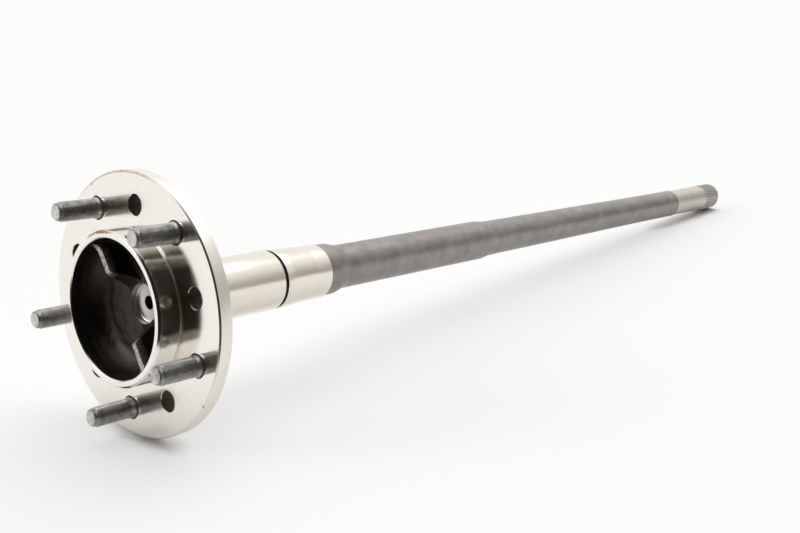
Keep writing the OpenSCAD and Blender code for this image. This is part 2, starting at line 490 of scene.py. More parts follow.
@dataclass(frozen=True)
class MachinedSteel(Finish):
    """Bare turned or ground steel with tool marks in broader bands, faint stains and a little rust.

    The fields named wear, rough and height say how much each of them counts there.
    """

    bright: Colour = (0.96, 0.93, 0.885)
    dull: Colour = (0.83, 0.79, 0.725)
    rust: Colour = (0.42, 0.25, 0.09)
    lay: ToolLay = ToolLay.RINGS
    roughness: float = 0.24
    mark_pitch: float = 0.5
    mark_layers: float = 3.0
    mark_depth: float = 0.012
    mark_wear: float = 0.45
    mark_rough: float = 0.12
    mark_height: float = 0.6
    band_pitch: float = 4.5
    band_layers: float = 2.0
    band_wear: float = 0.35
    band_height: float = 0.4
    wander: Grain = Grain(30.0, 1.0)
    wander_mm: float = 0.8
    cloud: Grain = Grain(26.0, 5.0, 0.6)
    cloud_wear: float = 0.5
    cloud_rough: float = 0.16
    unworn: float = 0.15
    stain: Grain = Grain(7.0, 6.0, 0.65)
    stain_rise: Span = (0.54, 0.74)
    stain_share: float = 0.35
    stain_rough: float = 0.12
    rusty: tuple[RustMark, ...] = ()
    rust_share: float = 0.75
    rust_rough: float = 0.45
    rust_height: float = 2.0
    speckle: Grain = Grain(1.6, 5.0, 0.7)
    speckle_rise: Span = (0.38, 0.60)

    def across(self, graph: Graph, place: AxlePlace) -> Wire:
        """Measure across the tool marks.

        Args:
            graph: The material's nodes.
            place: Where the shaded point is on the axle.

        Returns:
            The measure in millimetres, with a slight wander.
        """
        drift = self.wander_mm * graph.lumps(place.point, self.wander)
        if self.lay is ToolLay.LENGTHWISE:
            return place.angle * place.radius + drift
        return place.radius + place.station + drift

    def rusted(self, graph: Graph, place: AxlePlace) -> Wire:
        """Share of rust at the shaded point, speckled inside each mark.

        Args:
            graph: The material's nodes.
            place: Where the shaded point is on the axle.

        Returns:
            A value from 0 to 1.
        """
        speckle = graph.lumps(place.point, self.speckle).rise(*self.speckle_rise)
        total, *others = (mark.share(graph, place) for mark in self.rusty)
        for other in others:
            total = total.larger(other)
        return (self.rust_share * total * speckle).clamped()

    def nodes(self, graph: Graph, place: AxlePlace) -> Sockets:
        """Steel that is duller along its tool marks and stains, and matt where it has rusted.

        Args:
            graph: The material's nodes.
            place: Where the shaded point is on the axle.

        Returns:
            The value or link of each socket of the shader.
        """
        across = self.across(graph, place)
        marks = graph.lines(across, self.mark_pitch, self.mark_layers)
        bands = graph.lines(across, self.band_pitch, self.band_layers)
        cloud = graph.lumps(place.point, self.cloud)
        stain = self.stain_share * graph.lumps(place.point, self.stain).rise(*self.stain_rise)
        worn = self.mark_wear * marks + self.band_wear * bands + self.cloud_wear * cloud
        worn = (worn - self.unworn).clamped()
        colour = graph.mix(stain, graph.mix(worn, self.dull, self.bright), self.dull)
        uneven = self.mark_rough * marks.centred() + self.cloud_rough * cloud.centred()
        rough = self.roughness + uneven + self.stain_rough * stain
        relief = self.mark_height * marks + self.band_height * bands
        metal: Wire | float = 1.0
        if self.rusty:
            rusted = self.rusted(graph, place)
            colour = graph.mix(rusted, colour, self.rust)
            rough = rough + self.rust_rough * rusted
            relief = relief + self.rust_height * rusted
            metal = 1.0 - rusted
        return {
            "Base Color": colour,
            "Metallic": metal,
            "Roughness": rough,
            "Normal": graph.bump(relief, self.mark_depth),
        }


@dataclass(frozen=True)
class ForgedScale(Finish):
    """Steel as it left the forge: dark, lumpy scale with a satin sheen and pitted patches.

    The fields named tone, rough and height say how much patches, pits and rings count there.
    """

    dark: Colour = (0.165, 0.147, 0.142)
    pale: Colour = (0.275, 0.250, 0.242)
    warm: Colour = (0.20, 0.155, 0.125)
    # Paler steel where the crest is high; on the cup's web it is also a painted highlight.
    rubbed: Colour = (0.50, 0.48, 0.455)
    gloss: Colour = (1.0, 1.0, 1.0)
    roughness: float = 0.43
    metallic: float = 0.5
    patch: Grain = Grain(12.0, 6.0, 0.62)
    patch_rise: Span = (0.34, 0.68)
    patch_tone: float = 0.8
    patch_rough: float = 0.25
    patch_height: float = 0.5
    pit: Grain = Grain(1.3, 4.0, 0.6)
    pit_tone: float = 0.2
    pit_rough: float = 0.18
    pit_height: float = 0.35
    pit_depth: float = 0.10
    stain: Grain = Grain(38.4, 3.0)
    stain_rise: Span = (0.48, 0.70)
    stain_share: float = 0.5
    ring_pitch: float = 1.4
    ring_layers: float = 3.0
    ring_wander: float = 1.5
    ring_share: float = 0.0
    ring_height: float = 0.5
    rub_rise: Span = (0.28, 0.56)

    def nodes(self, graph: Graph, place: AxlePlace) -> Sockets:
        """Scale with warm stains and fine pits, and paler, more metallic steel where the crest
        attribute is high (rubbed steel and a painted highlight on the cup's web).

        Args:
            graph: The material's nodes.
            place: Where the shaded point is on the axle.

        Returns:
            The value or link of each socket of the shader.
        """
        patches = graph.lumps(place.point, self.patch)
        pits = graph.lumps(place.point, self.pit)
        stains = self.stain_share * graph.lumps(place.point, self.stain).rise(*self.stain_rise)
        along = place.station + self.ring_wander * patches
        rings = graph.lines(along, self.ring_pitch, self.ring_layers)
        high = ((1.0 - self.ring_share) * patches + self.ring_share * rings).rise(*self.patch_rise)
        scale = graph.mix(self.patch_tone * high + self.pit_tone * pits, self.dark, self.pale)
        relief = self.pit_height * pits + self.patch_height * patches
        relief = relief + self.ring_height * self.ring_share * rings
        # On the cup's web this crest share is rubbed steel and a painted highlight on the web's
        # top.
        rubbed = graph.crest() * pits.rise(*self.rub_rise)
        uneven = self.patch_rough * patches.centred() + self.pit_rough * pits.centred()
        return {
            "Base Color": graph.mix(rubbed, graph.mix(stains, scale, self.warm), self.rubbed),
            "Metallic": self.metallic + (1.0 - self.metallic) * rubbed,
            "Specular Tint": opaque(self.gloss),
            "Roughness": self.roughness + uneven,
            "Normal": graph.bump(relief, self.pit_depth),
        }


@dataclass(frozen=True)
class PhosphateSteel(Finish):
    """Matt grey phosphate coat of the studs, rubbed bright on the thread's crests."""

    coat: Colour = (0.24, 0.23, 0.216)
    pale: Colour = (0.42, 0.407, 0.386)
    rubbed: Colour = (0.70, 0.69, 0.66)
    roughness: float = 0.40
    grain_rough: float = 0.2
    rub_smooth: float = 0.12
    metallic: float = 0.6
    rub_metallic: float = 0.35
    grain: Grain = Grain(0.5, 3.0, 0.6)
    grain_depth: float = 0.02
    grain_tone: float = 0.3
    patch: Grain = Grain(5.0, 4.0, 0.6)
    patch_tone: float = 0.7
    tone_rise: Span = (0.3, 0.7)
    rub_grain: float = 0.5
    rub_rise: Span = (0.35, 0.75)

    def nodes(self, graph: Graph, place: AxlePlace) -> Sockets:
        """Grey crystals with paler patches, and bare steel where the crest attribute is high.

        Args:
            graph: The material's nodes.
            place: Where the shaded point is on the axle.

        Returns:
            The value or link of each socket of the shader.
        """
        grain = graph.lumps(place.point, self.grain)
        patches = self.patch_tone * graph.lumps(place.point, self.patch)
        rubbed = graph.crest() * (patches + self.rub_grain * grain).rise(*self.rub_rise)
        tone = (patches + self.grain_tone * grain).rise(*self.tone_rise)
        coat = graph.mix(tone, self.coat, self.pale)
        uneven = self.grain_rough * grain.centred() - self.rub_smooth * rubbed
        return {
            "Base Color": graph.mix(rubbed, coat, self.rubbed),
            "Metallic": self.metallic + self.rub_metallic * rubbed,
            "Roughness": self.roughness + uneven,
            "Normal": graph.bump(grain, self.grain_depth),
        }


@dataclass(frozen=True)
class PaleFloor(Finish):
    """Matt white paint with a faint roller grain."""

    paint: Colour = (0.96, 0.96, 0.96)
    shade: Colour = (0.94, 0.94, 0.94)
    glow: Colour = (0.975, 0.975, 0.97)
    seen_share: float = 0.5
    mirrored_share: float = 0.15
    shadow_reach: float = 0.015
    shadow_rise: Span = (0.55, 0.95)
    shadow_samples: int = 8
    roughness: float = 0.75
    sheen: float = 0.15
    grain: Grain = Grain(2.5, 3.0)
    grain_rough: float = 0.1
    grain_depth: float = 0.02

    def nodes(self, graph: Graph, place: AxlePlace) -> Sockets:
        """Even paint, a touch greyer in its hollows.

        Args:
            graph: The material's nodes.
            place: Where the shaded point is on the axle.

        Returns:
            The value or link of each socket of the shader.
        """
        grain = graph.lumps(place.point, self.grain)
        return {
            "Base Color": graph.mix(grain, self.shade, self.paint),
            "Roughness": self.roughness + self.grain_rough * grain.centred(),
            "Specular IOR Level": self.sheen,
            "Normal": graph.bump(grain, self.grain_depth),
        }

    def surface(self, graph: Graph, shader: Wire) -> Wire:
        """Lift the paint to an even white where it is seen, but not close under the part.

        Args:
            graph: The material's nodes.
            shader: The paint's own shader.

        Returns:
            The blended shader.
        """
        mirrored = graph.ray("Glossy").larger(graph.ray("Transmission"))
        share = self.seen_share * graph.ray("Camera") + self.mirrored_share * mirrored
        settings, reach = {"samples": self.shadow_samples}, {"Distance": self.shadow_reach}
        open_air = graph.node("ShaderNodeAmbientOcclusion", settings, reach, "AO")
        lifted = share * open_air.rise(*self.shadow_rise)
        white = graph.node("ShaderNodeEmission", {}, {"Color": opaque(self.glow), "Strength": 1.0})
        return graph.node("ShaderNodeMixShader", {}, {0: lifted, 1: shader, 2: white})


@dataclass(frozen=True)
class Corner:
    """A corner of a half section: its radius and station, and how far it is rounded off."""

    r: float
    z: float
    blend: float = 0.0


def arc(
    before: np.ndarray, corner: np.ndarray, after: np.ndarray, blend: float
) -> list[np.ndarray]:
    """Round off a corner of a half section.

    Args:
        before: The point before the corner.
        corner: The corner.
        after: The point after the corner.
        blend: Radius of the arc, which is less where a side is too short for it.

    Returns:
        Points of the arc, radius and station in each.
    """
    to_last, to_next = before - corner, after - corner
    last_l, next_l = np.linalg.norm(to_last), np.linalg.norm(to_next)
    to_last, to_next = to_last / last_l, to_next / next_l
    half = math.acos(max(-1.0, min(1.0, float(to_last @ to_next)))) / 2
    reach = min(blend / math.tan(half), ROUND_LIMIT * last_l, ROUND_LIMIT * next_l)
    middle = to_last + to_next
    centre = corner + middle / np.linalg.norm(middle) * reach / math.cos(half)
    start, end = corner + to_last * reach - centre, corner + to_next * reach - centre
    sweep = math.pi - 2 * half
    points = []
    for k in range(ARC_STEPS + 1):
        t = k / ARC_STEPS * sweep
        out = (start * math.sin(sweep - t) + end * math.sin(t)) / math.sin(sweep)
        points.append(centre + out)
    return points


def rounded(corners: Sequence[Corner], step: float = math.inf) -> np.ndarray:
    """Follow a half section with its corners rounded off.

    Args:
        corners: The section's corners in order.
        step: The longest straight stretch that is left undivided.

    Returns:
        An array of points, radius and station in each row.
    """
    spots = [np.array((c.r, c.z)) for c in corners]
    line = [spots[0]]
    for i, corner in enumerate(corners[1:-1], 1):
        if corner.blend == 0:
            line.append(spots[i])
        else:
            line += arc(spots[i - 1], spots[i], spots[i + 1], corner.blend)
    line.append(spots[-1])
    divided = [line[0]]
    for a, b in zip(line, line[1:]):
        parts = max(1, math.ceil(float(np.linalg.norm(b - a)) / step))
        divided += [a + (b - a) * k / parts for k in range(1, parts + 1)]
    return np.array(divided)


def roughness_of(points: np.ndarray, size: float) -> np.ndarray:
    """Forging lumps at points of the axle's frame.

    Args:
        points: An array of points in millimetres, one a row.
        size: Width of a lump in millimetres.

    Returns:
        A height for each point, about -1 to 1.
    """
    return np.array([noise.noise(Vector(p) / size) for p in points])


def soft_least(a: np.ndarray, b: np.ndarray, blend: float) -> np.ndarray:
    """The lesser of two heights, rounded where they cross.

    Args:
        a: The first heights.
        b: The second heights.
        blend: Height over which they are blended.

    Returns:
        The blended heights.
    """
    share = np.clip(0.5 + 0.5 * (b - a) / blend, 0, 1)
    return b + (a - b) * share - blend * share * (1 - share)


def soft_most(a: np.ndarray, b: np.ndarray, blend: float) -> np.ndarray:
    """The greater of two heights, rounded where they cross."""
    return -soft_least(-a, -b, blend)


def ramp(away: np.ndarray, width: float) -> np.ndarray:
    """Share that grows from 0 to 1 over a width."""
    return np.clip(away / width, 0, 1)


def sink(points: np.ndarray, depth: np.ndarray) -> None:
    """Move points of the axle's frame towards its axis, each by its own depth."""
    points[:, :2] *= 1 - (depth / np.linalg.norm(points[:, :2], axis=1))[:, None]


def turned(radius: np.ndarray, angle: np.ndarray, station: np.ndarray) -> np.ndarray:
    """Points at a radius, an angle and a station, which are arrays of shapes that combine."""
    radius, angle, station = np.broadcast_arrays(radius, angle, station)
    return np.stack((radius * np.cos(angle), radius * np.sin(angle), station), -1)


class Shell:
    """Vertices and faces of one piece, gathered in the axle's frame."""

    def __init__(self) -> None:
        """Start empty."""
        self.points: list[np.ndarray] = []
        self.faces: list[tuple[int, ...]] = []
        self.crest: list[np.ndarray] = []
        self.count = 0

    @classmethod
    def lathed(cls, corners: Sequence[Corner], segments: int, step: float = math.inf) -> Shell:
        """Make a shell by turning a half section about the axle.

        Args:
            corners: The section's corners in order.
            segments: Number of steps round the axle.
            step: The longest straight stretch that is left undivided.

        Returns:
            The shell.
        """
        shell = cls()
        shell.revolve(rounded(corners, step), segments)
        return shell

    def add(self, points: np.ndarray, faces: np.ndarray, crest: np.ndarray | None = None) -> None:
        """Add vertices and the faces between them.

        Args:
            points: An array of points, one a row.
            faces: Indices of those points, one face a row.
            crest: How far each point stands proud, from 0 to 1.
        """
        self.faces += [tuple(f) for f in (faces + self.count).tolist()]
        self.points.append(points)
        self.crest.append(np.zeros(len(points)) if crest is None else crest)
        self.count += len(points)

    def net(self, points: np.ndarray, crest: np.ndarray | None = None) -> None:
        """Add a net of quads that closes round its columns.

        Args:
            points: Points by row and column.
            crest: How far each point stands proud, by row and column.
        """
        rows, columns = points.shape[:2]
        start = np.arange(rows - 1)[:, None] * columns
        here = np.arange(columns)[None, :]
        beside = (here + 1) % columns
        quads = np.stack(
            (start + here, start + beside, start + columns + beside, start + columns + here), -1
        )
        flat = None if crest is None else crest.ravel()
        self.add(points.reshape(-1, 3), quads.reshape(-1, 4), flat)

    def revolve(self, section: np.ndarray, segments: int) -> None:
        """Add a half section turned about the axle.

        Args:
            section: Radius and station of each point.
            segments: Number of steps round the axle.
        """
        angles = np.arange(segments) * FULL_TURN / segments
        self.net(turned(section[:, 0][:, None], angles[None, :], section[:, 1][:, None]))

    def to_mesh(self, name: str, axle: AxleFrame) -> bpy.types.Mesh:
        """Weld the piece into a mesh of the row frame.

        Args:
            name: The mesh's name.
            axle: How the axle lies.

        Returns:
            The mesh, smooth but for its sharp edges.
        """
        mesh = bpy.data.meshes.new(name)
        mesh.from_pydata(axle.to_row(np.concatenate(self.points)).tolist(), [], self.faces)
        attribute = mesh.attributes.new(CREST, "FLOAT", "POINT")
        attribute.data.foreach_set("value", np.concatenate(self.crest).astype(np.float32))
        work = bmesh.new()
        work.from_mesh(mesh)
        bmesh.ops.remove_doubles(work, verts=work.verts, dist=WELD_M)
        work.to_mesh(mesh)
        work.free()
        mesh.shade_smooth()
        mesh.set_sharp_from_angle(angle=SHARP_EDGE)
        return mesh


@dataclass
class SubAssembly:
    """A group of pieces that is built, dressed and set on the frame together."""

    axle: AxleFrame

    node = "axle_shaft"
    slot = "forged_steel"

    def build(self) -> dict[str, Shell]:
        """Make each piece's shell, by the piece's name."""
        raise NotImplementedError

    def dress(self) -> dict[str, Finish]:
        """Choose each piece's finish, by the piece's name."""
        raise NotImplementedError

    def place(self) -> None:
        """Build the pieces, give them their finishes and let them ride on the frame."""
        finishes = self.dress()
        materials: dict[Finish, bpy.types.Material] = {}
        for name, shell in self.build().items():
            finish = finishes[name]
            if finish not in materials:
                materials[finish] = finish.material(f"{name}_finish", self.axle)
            mesh = shell.to_mesh(name, self.axle)
            mesh.materials.append(materials[finish])
            piece = bpy.data.objects.new(name, mesh)
            bpy.context.scene.collection.objects.link(piece)
            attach(piece, "root")
            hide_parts(self.node)
            LOG.info("%s: %d faces, %s", name, len(mesh.polygons), type(finish).__name__)


class FlangeSide(Enum):
    """A face of the flange, with the row of a hole's section that lies in it."""

    FRONT = 0
    BACK = -1


@dataclass(frozen=True)
class Hole:
    """A hole through the flange: its centre, its section, and the rows of its bright front edge."""

    centre: Span
    section: np.ndarray
    edge_rows: int

    def net(self, rows: slice) -> np.ndarray:
        """Follow the hole's surface.

        Args:
            rows: The rows of its section to follow.

        Returns:
            Points by row and column.
        """
        angles = -np.arange(HOLE_SEGMENTS) * FULL_TURN / HOLE_SEGMENTS
        r, z = self.section[rows, 0], self.section[rows, 1]
        return turned(r[:, None], angles[None, :], z[:, None]) + np.array((*self.centre, 0.0))

    def edge_r(self, side: FlangeSide) -> float:
        """Radius of the hole in a face of the flange."""
        return self.section[side.value, 0]

    def ring(self, side: FlangeSide) -> np.ndarray:
        """Follow the hole's edge.

        Args:
            side: The face of the flange.

        Returns:
            The edge's points in that face, one a row.
        """
        angles = np.arange(HOLE_SEGMENTS) * FULL_TURN / HOLE_SEGMENTS
        circle = np.column_stack((np.cos(angles), np.sin(angles)))
        return np.array(self.centre) + self.edge_r(side) * circle


@dataclass
class WheelFlange(SubAssembly):
    """Round flange with its stud holes and access holes, and the cone and shoulder behind it."""

    radius: float
    face_r: float
    seat_r: float
    thickness: float = FLANGE_T
    stud_turn: float = STUD_TURN
    shank_r: float = SHANK_R
    rim_chamfer: float = 1.0
    edge_blend: float = 0.2
    stud_sink: float = 0.9
    access_edge: float = 0.3
    access_sink: float = 0.6
    back_fillet_r: float = 55.75
    cone_foot_r: float = 54.01
    foot_blend: float = 4.0
    cone_end: Span = (30.0, 37.0)
    cone_blend: float = 2.0
    shoulder_end: float = 45.0
    shoulder_chamfer: float = 0.8
    ring_step: float = 1.5
    cone_lump: float = 9.0
    cone_relief: float = 0.22
    relief_fade: float = 4.0

    @property
    def edge_r(self) -> float:
        """Outer radius of the flange's flat faces."""
        return self.radius - self.rim_chamfer

    def holes(self) -> list[Hole]:
        """The stud holes, countersunk in front, and the access holes between them.

        Returns:
            All the holes.
        """
        studs, access = mount_of("wheel_studs")["dims"], mount_of("access_holes")["dims"]
        front, edge, back = self.stud_sink, self.access_edge, self.access_sink
        access_r = access["hole_r_mm"]
        stud_section = rounded([
            Corner(self.shank_r + front, 0),
            Corner(self.shank_r, front),
            Corner(self.shank_r, self.thickness),
        ])
        access_section = rounded([
            Corner(access_r + edge, 0),
            Corner(access_r, edge, edge),
            Corner(access_r, self.thickness - back),
            Corner(access_r + back, self.thickness),
        ])
        made = []
        for dims, section, offset, rows in (
            (studs, stud_section, 0.0, 0),
            (access, access_section, math.pi / studs["count"], ARC_STEPS + 1),
        ):
            for i in range(dims["count"]):
                angle = self.stud_turn + offset + i * FULL_TURN / dims["count"]
                reach = dims["pcd_mm"] / 2
                centre = (reach * math.cos(angle), reach * math.sin(angle))
                made.append(Hole(centre, section, rows))
        return made

    def pierced(self, shell: Shell, side: FlangeSide, holes: list[Hole]) -> None:
        """Add a face of the flange, which is a flat ring with holes in it.

        Args:
            shell: The shell that takes it.
            side: The face to add.
            holes: The holes to leave open.
        """
        in_front = side is FlangeSide.FRONT
        inner, z = (self.face_r, 0.0) if in_front else (self.back_fillet_r, self.thickness)
        angles = np.arange(HUB_SEGMENTS) * FULL_TURN / HUB_SEGMENTS
        circle = np.column_stack((np.cos(angles), np.sin(angles)))
        loops = [circle * inner, circle * self.edge_r] + [h.ring(side) for h in holes]
        edges, start = [], 0
        for loop in loops:
            count = len(loop)
            edges += [(start + k, start + (k + 1) % count) for k in range(count)]
            start += count
        flat = [Vector(p) for p in np.concatenate(loops)]
        verts, _, faces, *_ = geometry.delaunay_2d_cdt(flat, edges, [], 0, MERGE_MM)
        points = np.array([(v.x, v.y, z) for v in verts])
        kept = []
        for face in faces:
            middle = points[list(face)].mean(0)[:2]
            reach = float(np.linalg.norm(middle))
            clear = all(
                np.linalg.norm(middle - h.centre) > h.edge_r(side) * HOLE_SLACK for h in holes
            )
            if inner * HOLE_SLACK < reach < self.edge_r and clear:
                kept.append(tuple(reversed(face)) if in_front else tuple(face))
        shell.add(points, np.array(kept))

    def plate(self) -> Shell:
        """Both faces of the flange, with the bright edges of its holes.

        Returns:
            The shell.
        """
        shell, holes = Shell(), self.holes()
        for side in FlangeSide:
            self.pierced(shell, side, holes)
        for hole in holes:
            shell.net(hole.net(slice(0, hole.edge_rows + 1)))
        return shell

    def rim(self) -> Shell:
        """The turned rim of the flange, with a chamfer on each side.

        Returns:
            The shell.
        """
        corners = [
            Corner(self.edge_r, 0),
            Corner(self.radius, self.rim_chamfer, self.edge_blend),
            Corner(self.radius, self.thickness - self.rim_chamfer, self.edge_blend),
            Corner(self.edge_r, self.thickness),
        ]
        return Shell.lathed(corners, HUB_SEGMENTS)

    def bores(self) -> Shell:
        """The walls of the holes.

        Returns:
            The shell.
        """
        shell = Shell()
        for hole in self.holes():
            shell.net(hole.net(slice(hole.edge_rows, None)))
        return shell

    def hub_back(self) -> Shell:
        """The forged cone behind the flange and the shoulder that the bearing stands against.

        Returns:
            The shell.
        """
        corners = [
            Corner(self.back_fillet_r, self.thickness),
            Corner(self.cone_foot_r, self.thickness, self.foot_blend),
            Corner(*self.cone_end, self.cone_blend),
            Corner(self.cone_end[0], self.shoulder_end - self.shoulder_chamfer),
            Corner(self.cone_end[0] - self.shoulder_chamfer, self.shoulder_end),
            Corner(self.seat_r, self.shoulder_end),
        ]
        shell = Shell.lathed(corners, HUB_SEGMENTS, self.ring_step)
        points = shell.points[0]
        fade = ramp(points[:, 2] - self.thickness, self.relief_fade)
        fade *= ramp(self.cone_end[1] - points[:, 2], self.relief_fade)
        sink(points, np.abs(roughness_of(points, self.cone_lump)) * self.cone_relief * fade)
        return shell

    def build(self) -> dict[str, Shell]:
        """Make the flange, its rim, its holes and the back of the hub.

        Returns:
            Each piece's shell, by the piece's name.
        """
        return {
            "wheel_flange": self.plate(),
            "flange_rim": self.rim(),
            "flange_bores": self.bores(),
            "hub_back": self.hub_back(),
        }

    def dress(self) -> dict[str, Finish]:
        """Choose ground faces and a satin rim with a few rust marks, holes darkened with painted
        shade, and scale behind.

        Returns:
            Each piece's finish, by the piece's name.
        """
        rusty = (
            RustyEdge(
                r=self.edge_r,
                z=0.2,
                width=1.3,
                middle=math.radians(166),
                half_turn=math.radians(34),
            ),
            RustSpot(centre=(-78.5, 51.0, 0.3), size=3.0),
            RustSpot(centre=(-68.5, 44.5, 0.0), size=3.5),
            RustSpot(centre=(51.0, -78.2, 0.0), size=1.6),
        )
        return {
            "wheel_flange": MachinedSteel(
                roughness=0.13, mark_depth=0.02, stain_share=0.55, rusty=rusty
            ),
            "flange_rim": MachinedSteel(
                roughness=0.32, bright=(0.93, 0.895, 0.835), dull=(0.79, 0.745, 0.675), rusty=rusty
            ),
            # Near-black, dull hole walls with a dim gloss: painted shade inside the holes.
            "flange_bores": ForgedScale(
                dark=(0.014, 0.010, 0.007),
                pale=(0.055, 0.043, 0.032),
                gloss=(0.45, 0.38, 0.30),
                roughness=0.62,
                metallic=0.0,
            ),
            "hub_back": ForgedScale(),
        }


@dataclass
class HubPilot(SubAssembly):
    """Pilot that centres the wheel, its bright lip, and the black forged cup inside it."""

    radius: float
    face_r: float
    web_turn: float
    lip_z: float = -18.0
    pilot_chamfer: float = 1.5
    relief_w: float = 1.6
    relief_depth: float = 0.6
    mouth_r: float = 49.0
    mouth_chamfer: float = 0.8
    land_z: float = -9.0
    wall_draft: float = math.radians(13)
    floor_z: float = 6.0
    dish_z: float = 9.0
    floor_fillet: float = 15.0
    spot_r: float = 14.5
    spot_z: float = 13.5
    spot_blend: float = 1.0
    centre_r: float = 5.0
    centre_depth: float = 10.0
    web_z: float = -10.0
    web_half_t: float = 2.7
    web_draft: float = math.radians(14)
    web_half_span: float = 26.0
    web_foot: float = 15.5
    web_end_fillet: float = 7.0
    web_blend: float = 8.0
    top_blend: float = 2.6
    rub_and_sheen_depth: float = 5.5
    edge_blend: float = 0.25
    lump: float = 7.0
    relief: float = 0.28
    fine_lump: float = 2.2
    fine_relief: float = 0.09
    spot_fade: float = 3.0
    mouth_fade: float = 0.6
    rub_and_sheen_fade: float = 4.0
    web_sector_deg: float = 18.0
    web_turn_deg: float = 0.25
    wall_turn_deg: float = 2.0
    floor_end_r: float = 38.0
    floor_step: float = 0.7
    foot_end_r: float = 46.5
    foot_step: float = 0.35
    wall_rings: int = 26
    rust_inset: float = 1.0

    @property
    def mouth_z(self) -> float:
        """Station where the lip's inner chamfer meets the cup's mouth."""
        return self.lip_z + self.mouth_chamfer

    def outside(self) -> tuple[np.ndarray, np.ndarray]:
        """Section of the lip, the outside of the pilot and the round relief at its root.

        Returns:
            The section down to the middle of the relief, and the rest of the relief.
        """
        corners = [
            Corner(self.mouth_r, self.mouth_z),
            Corner(self.mouth_r + self.mouth_chamfer, self.lip_z, self.edge_blend),
            Corner(self.radius - self.pilot_chamfer, self.lip_z, self.edge_blend),
            Corner(self.radius, self.lip_z + self.pilot_chamfer, self.edge_blend),
            Corner(self.radius, -self.relief_w, self.edge_blend),
            Corner(self.radius - self.relief_depth, -self.relief_w / 2, self.relief_w),
            Corner(self.radius, self.relief_depth / 2, self.relief_depth),
            Corner(self.face_r, 0),
        ]
        section = rounded(corners)
        middle = int(np.argmax(section[:, 1] > -self.relief_w / 2))
        return section[: middle + 1], section[middle:]

    def pilot(self) -> tuple[Shell, Shell]:
        """The turned pilot and the relief that was ground beside the flange face.

        Returns:
            The shells of the pilot and of the relief.
        """
        shells = Shell(), Shell()
        for shell, section in zip(shells, self.outside()):
            shell.revolve(section, HUB_SEGMENTS)
        return shells

    def wall_height(self, r: np.ndarray) -> np.ndarray:
        """Station of the cup's surface with no web: drafted wall, fillet and dished floor.

        Args:
            r: Radii.

        Returns:
            The stations.
        """
        slope = math.tan(self.wall_draft)
        foot = self.mouth_r - (self.floor_z - self.land_z) * slope
        fillet_r = foot + self.floor_fillet * slope - self.floor_fillet / math.cos(self.wall_draft)
        fillet_z = self.floor_z - self.floor_fillet
        wall_r = fillet_r + self.floor_fillet * math.cos(self.wall_draft)
        sag = np.sqrt(np.clip(self.floor_fillet**2 - (r - fillet_r) ** 2, 0, None))
        dish = (fillet_r - r) / (fillet_r - self.spot_r) * (self.dish_z - self.floor_z)
        wall = self.land_z + (self.mouth_r - r) / slope
        outer = np.where(r < wall_r, fillet_z + sag, wall)
        return np.where(r < fillet_r, self.floor_z + dish, outer)

    def web_height(self, r: np.ndarray, angle: np.ndarray) -> np.ndarray:
        """Station of the web's surface, which falls away at its sides and towards the spot face.

        Args:
            r: Radii.
            angle: Angles from the web.

        Returns:
            The stations.
        """
        along, aside = np.abs(r * np.cos(angle)), np.abs(r * np.sin(angle))
        fall = (self.dish_z - self.web_z) / (self.web_half_span - self.web_foot)
        end = self.web_z + (self.web_half_span - along) * fall
        flank = self.web_z + (aside - self.web_half_t) / math.tan(self.web_draft)
        from_wall = np.clip(self.web_end_fillet - (self.mouth_r - r), 0, None)
        climb = self.web_end_fillet - np.sqrt(self.web_end_fillet**2 - from_wall**2)
        top = soft_most(end, self.web_z - climb, self.top_blend)
        return soft_most(top, flank, self.top_blend)

    def cup_net(self) -> tuple[np.ndarray, np.ndarray]:
        """Space out the cup's points, closely on the web and at the foot of the wall.

        Returns:
            The radii as a column, and the angles from the web as a row.
        """
        sector = self.web_sector_deg
        on_web = np.radians(np.arange(-sector, sector, self.web_turn_deg))
        off_web = np.radians(np.arange(sector, 180 - sector, self.wall_turn_deg))
        half = np.concatenate([on_web, off_web])
        radii = np.concatenate([
            np.arange(self.spot_r, self.floor_end_r, self.floor_step),
            np.arange(self.floor_end_r, self.foot_end_r, self.foot_step),
            np.linspace(self.foot_end_r, self.mouth_r, self.wall_rings),
        ])
        return radii[:, None], np.concatenate([half, half + math.pi])[None, :]

    def cup(self) -> Shell:
        """The forged hollow with the web across it, down to the edge of the spot face.

        Returns:
            The shell.
        """
        r, a = self.cup_net()
        wall, web = self.wall_height(r), self.web_height(r, a)
        height = soft_least(wall, web, self.web_blend)
        inside = self.mouth_r - r
        # Paler, more metallic steel near the web's top: partly rubbed steel, partly a painted
        # highlight.
        rubbed = np.clip(1 - (height - self.web_z) / self.rub_and_sheen_depth, 0, 1)
        rubbed = rubbed * ramp(wall - web, self.rub_and_sheen_fade) * ramp(inside, self.rub_and_sheen_fade)
        points = turned(r, a + self.web_turn, height)
        flat = points.reshape(-1, 3)
        lumps = roughness_of(flat, self.lump) * self.relief
        lumps += roughness_of(flat + self.mouth_r, self.fine_lump) * self.fine_relief
        fade = ramp(r - self.spot_r, self.spot_fade) * ramp(inside, self.mouth_fade)
        points[..., 2] += lumps.reshape(height.shape) * fade
        shell = Shell()
        shell.net(points, rubbed)
        land = [Corner(self.mouth_r, self.land_z), Corner(self.mouth_r, self.mouth_z)]
        shell.revolve(rounded(land), HUB_SEGMENTS)
        return shell

    def spot_face(self) -> Shell:
        """The machined spot face in the middle of the cup.

        Returns:
            The shell.
        """
        corners = [
            Corner(self.centre_r, self.spot_z + self.edge_blend),
            Corner(self.centre_r, self.spot_z, self.edge_blend),
            Corner(self.spot_r, self.spot_z, self.spot_blend),
            Corner(self.spot_r, self.dish_z),
        ]
        return Shell.lathed(corners, HUB_SEGMENTS)

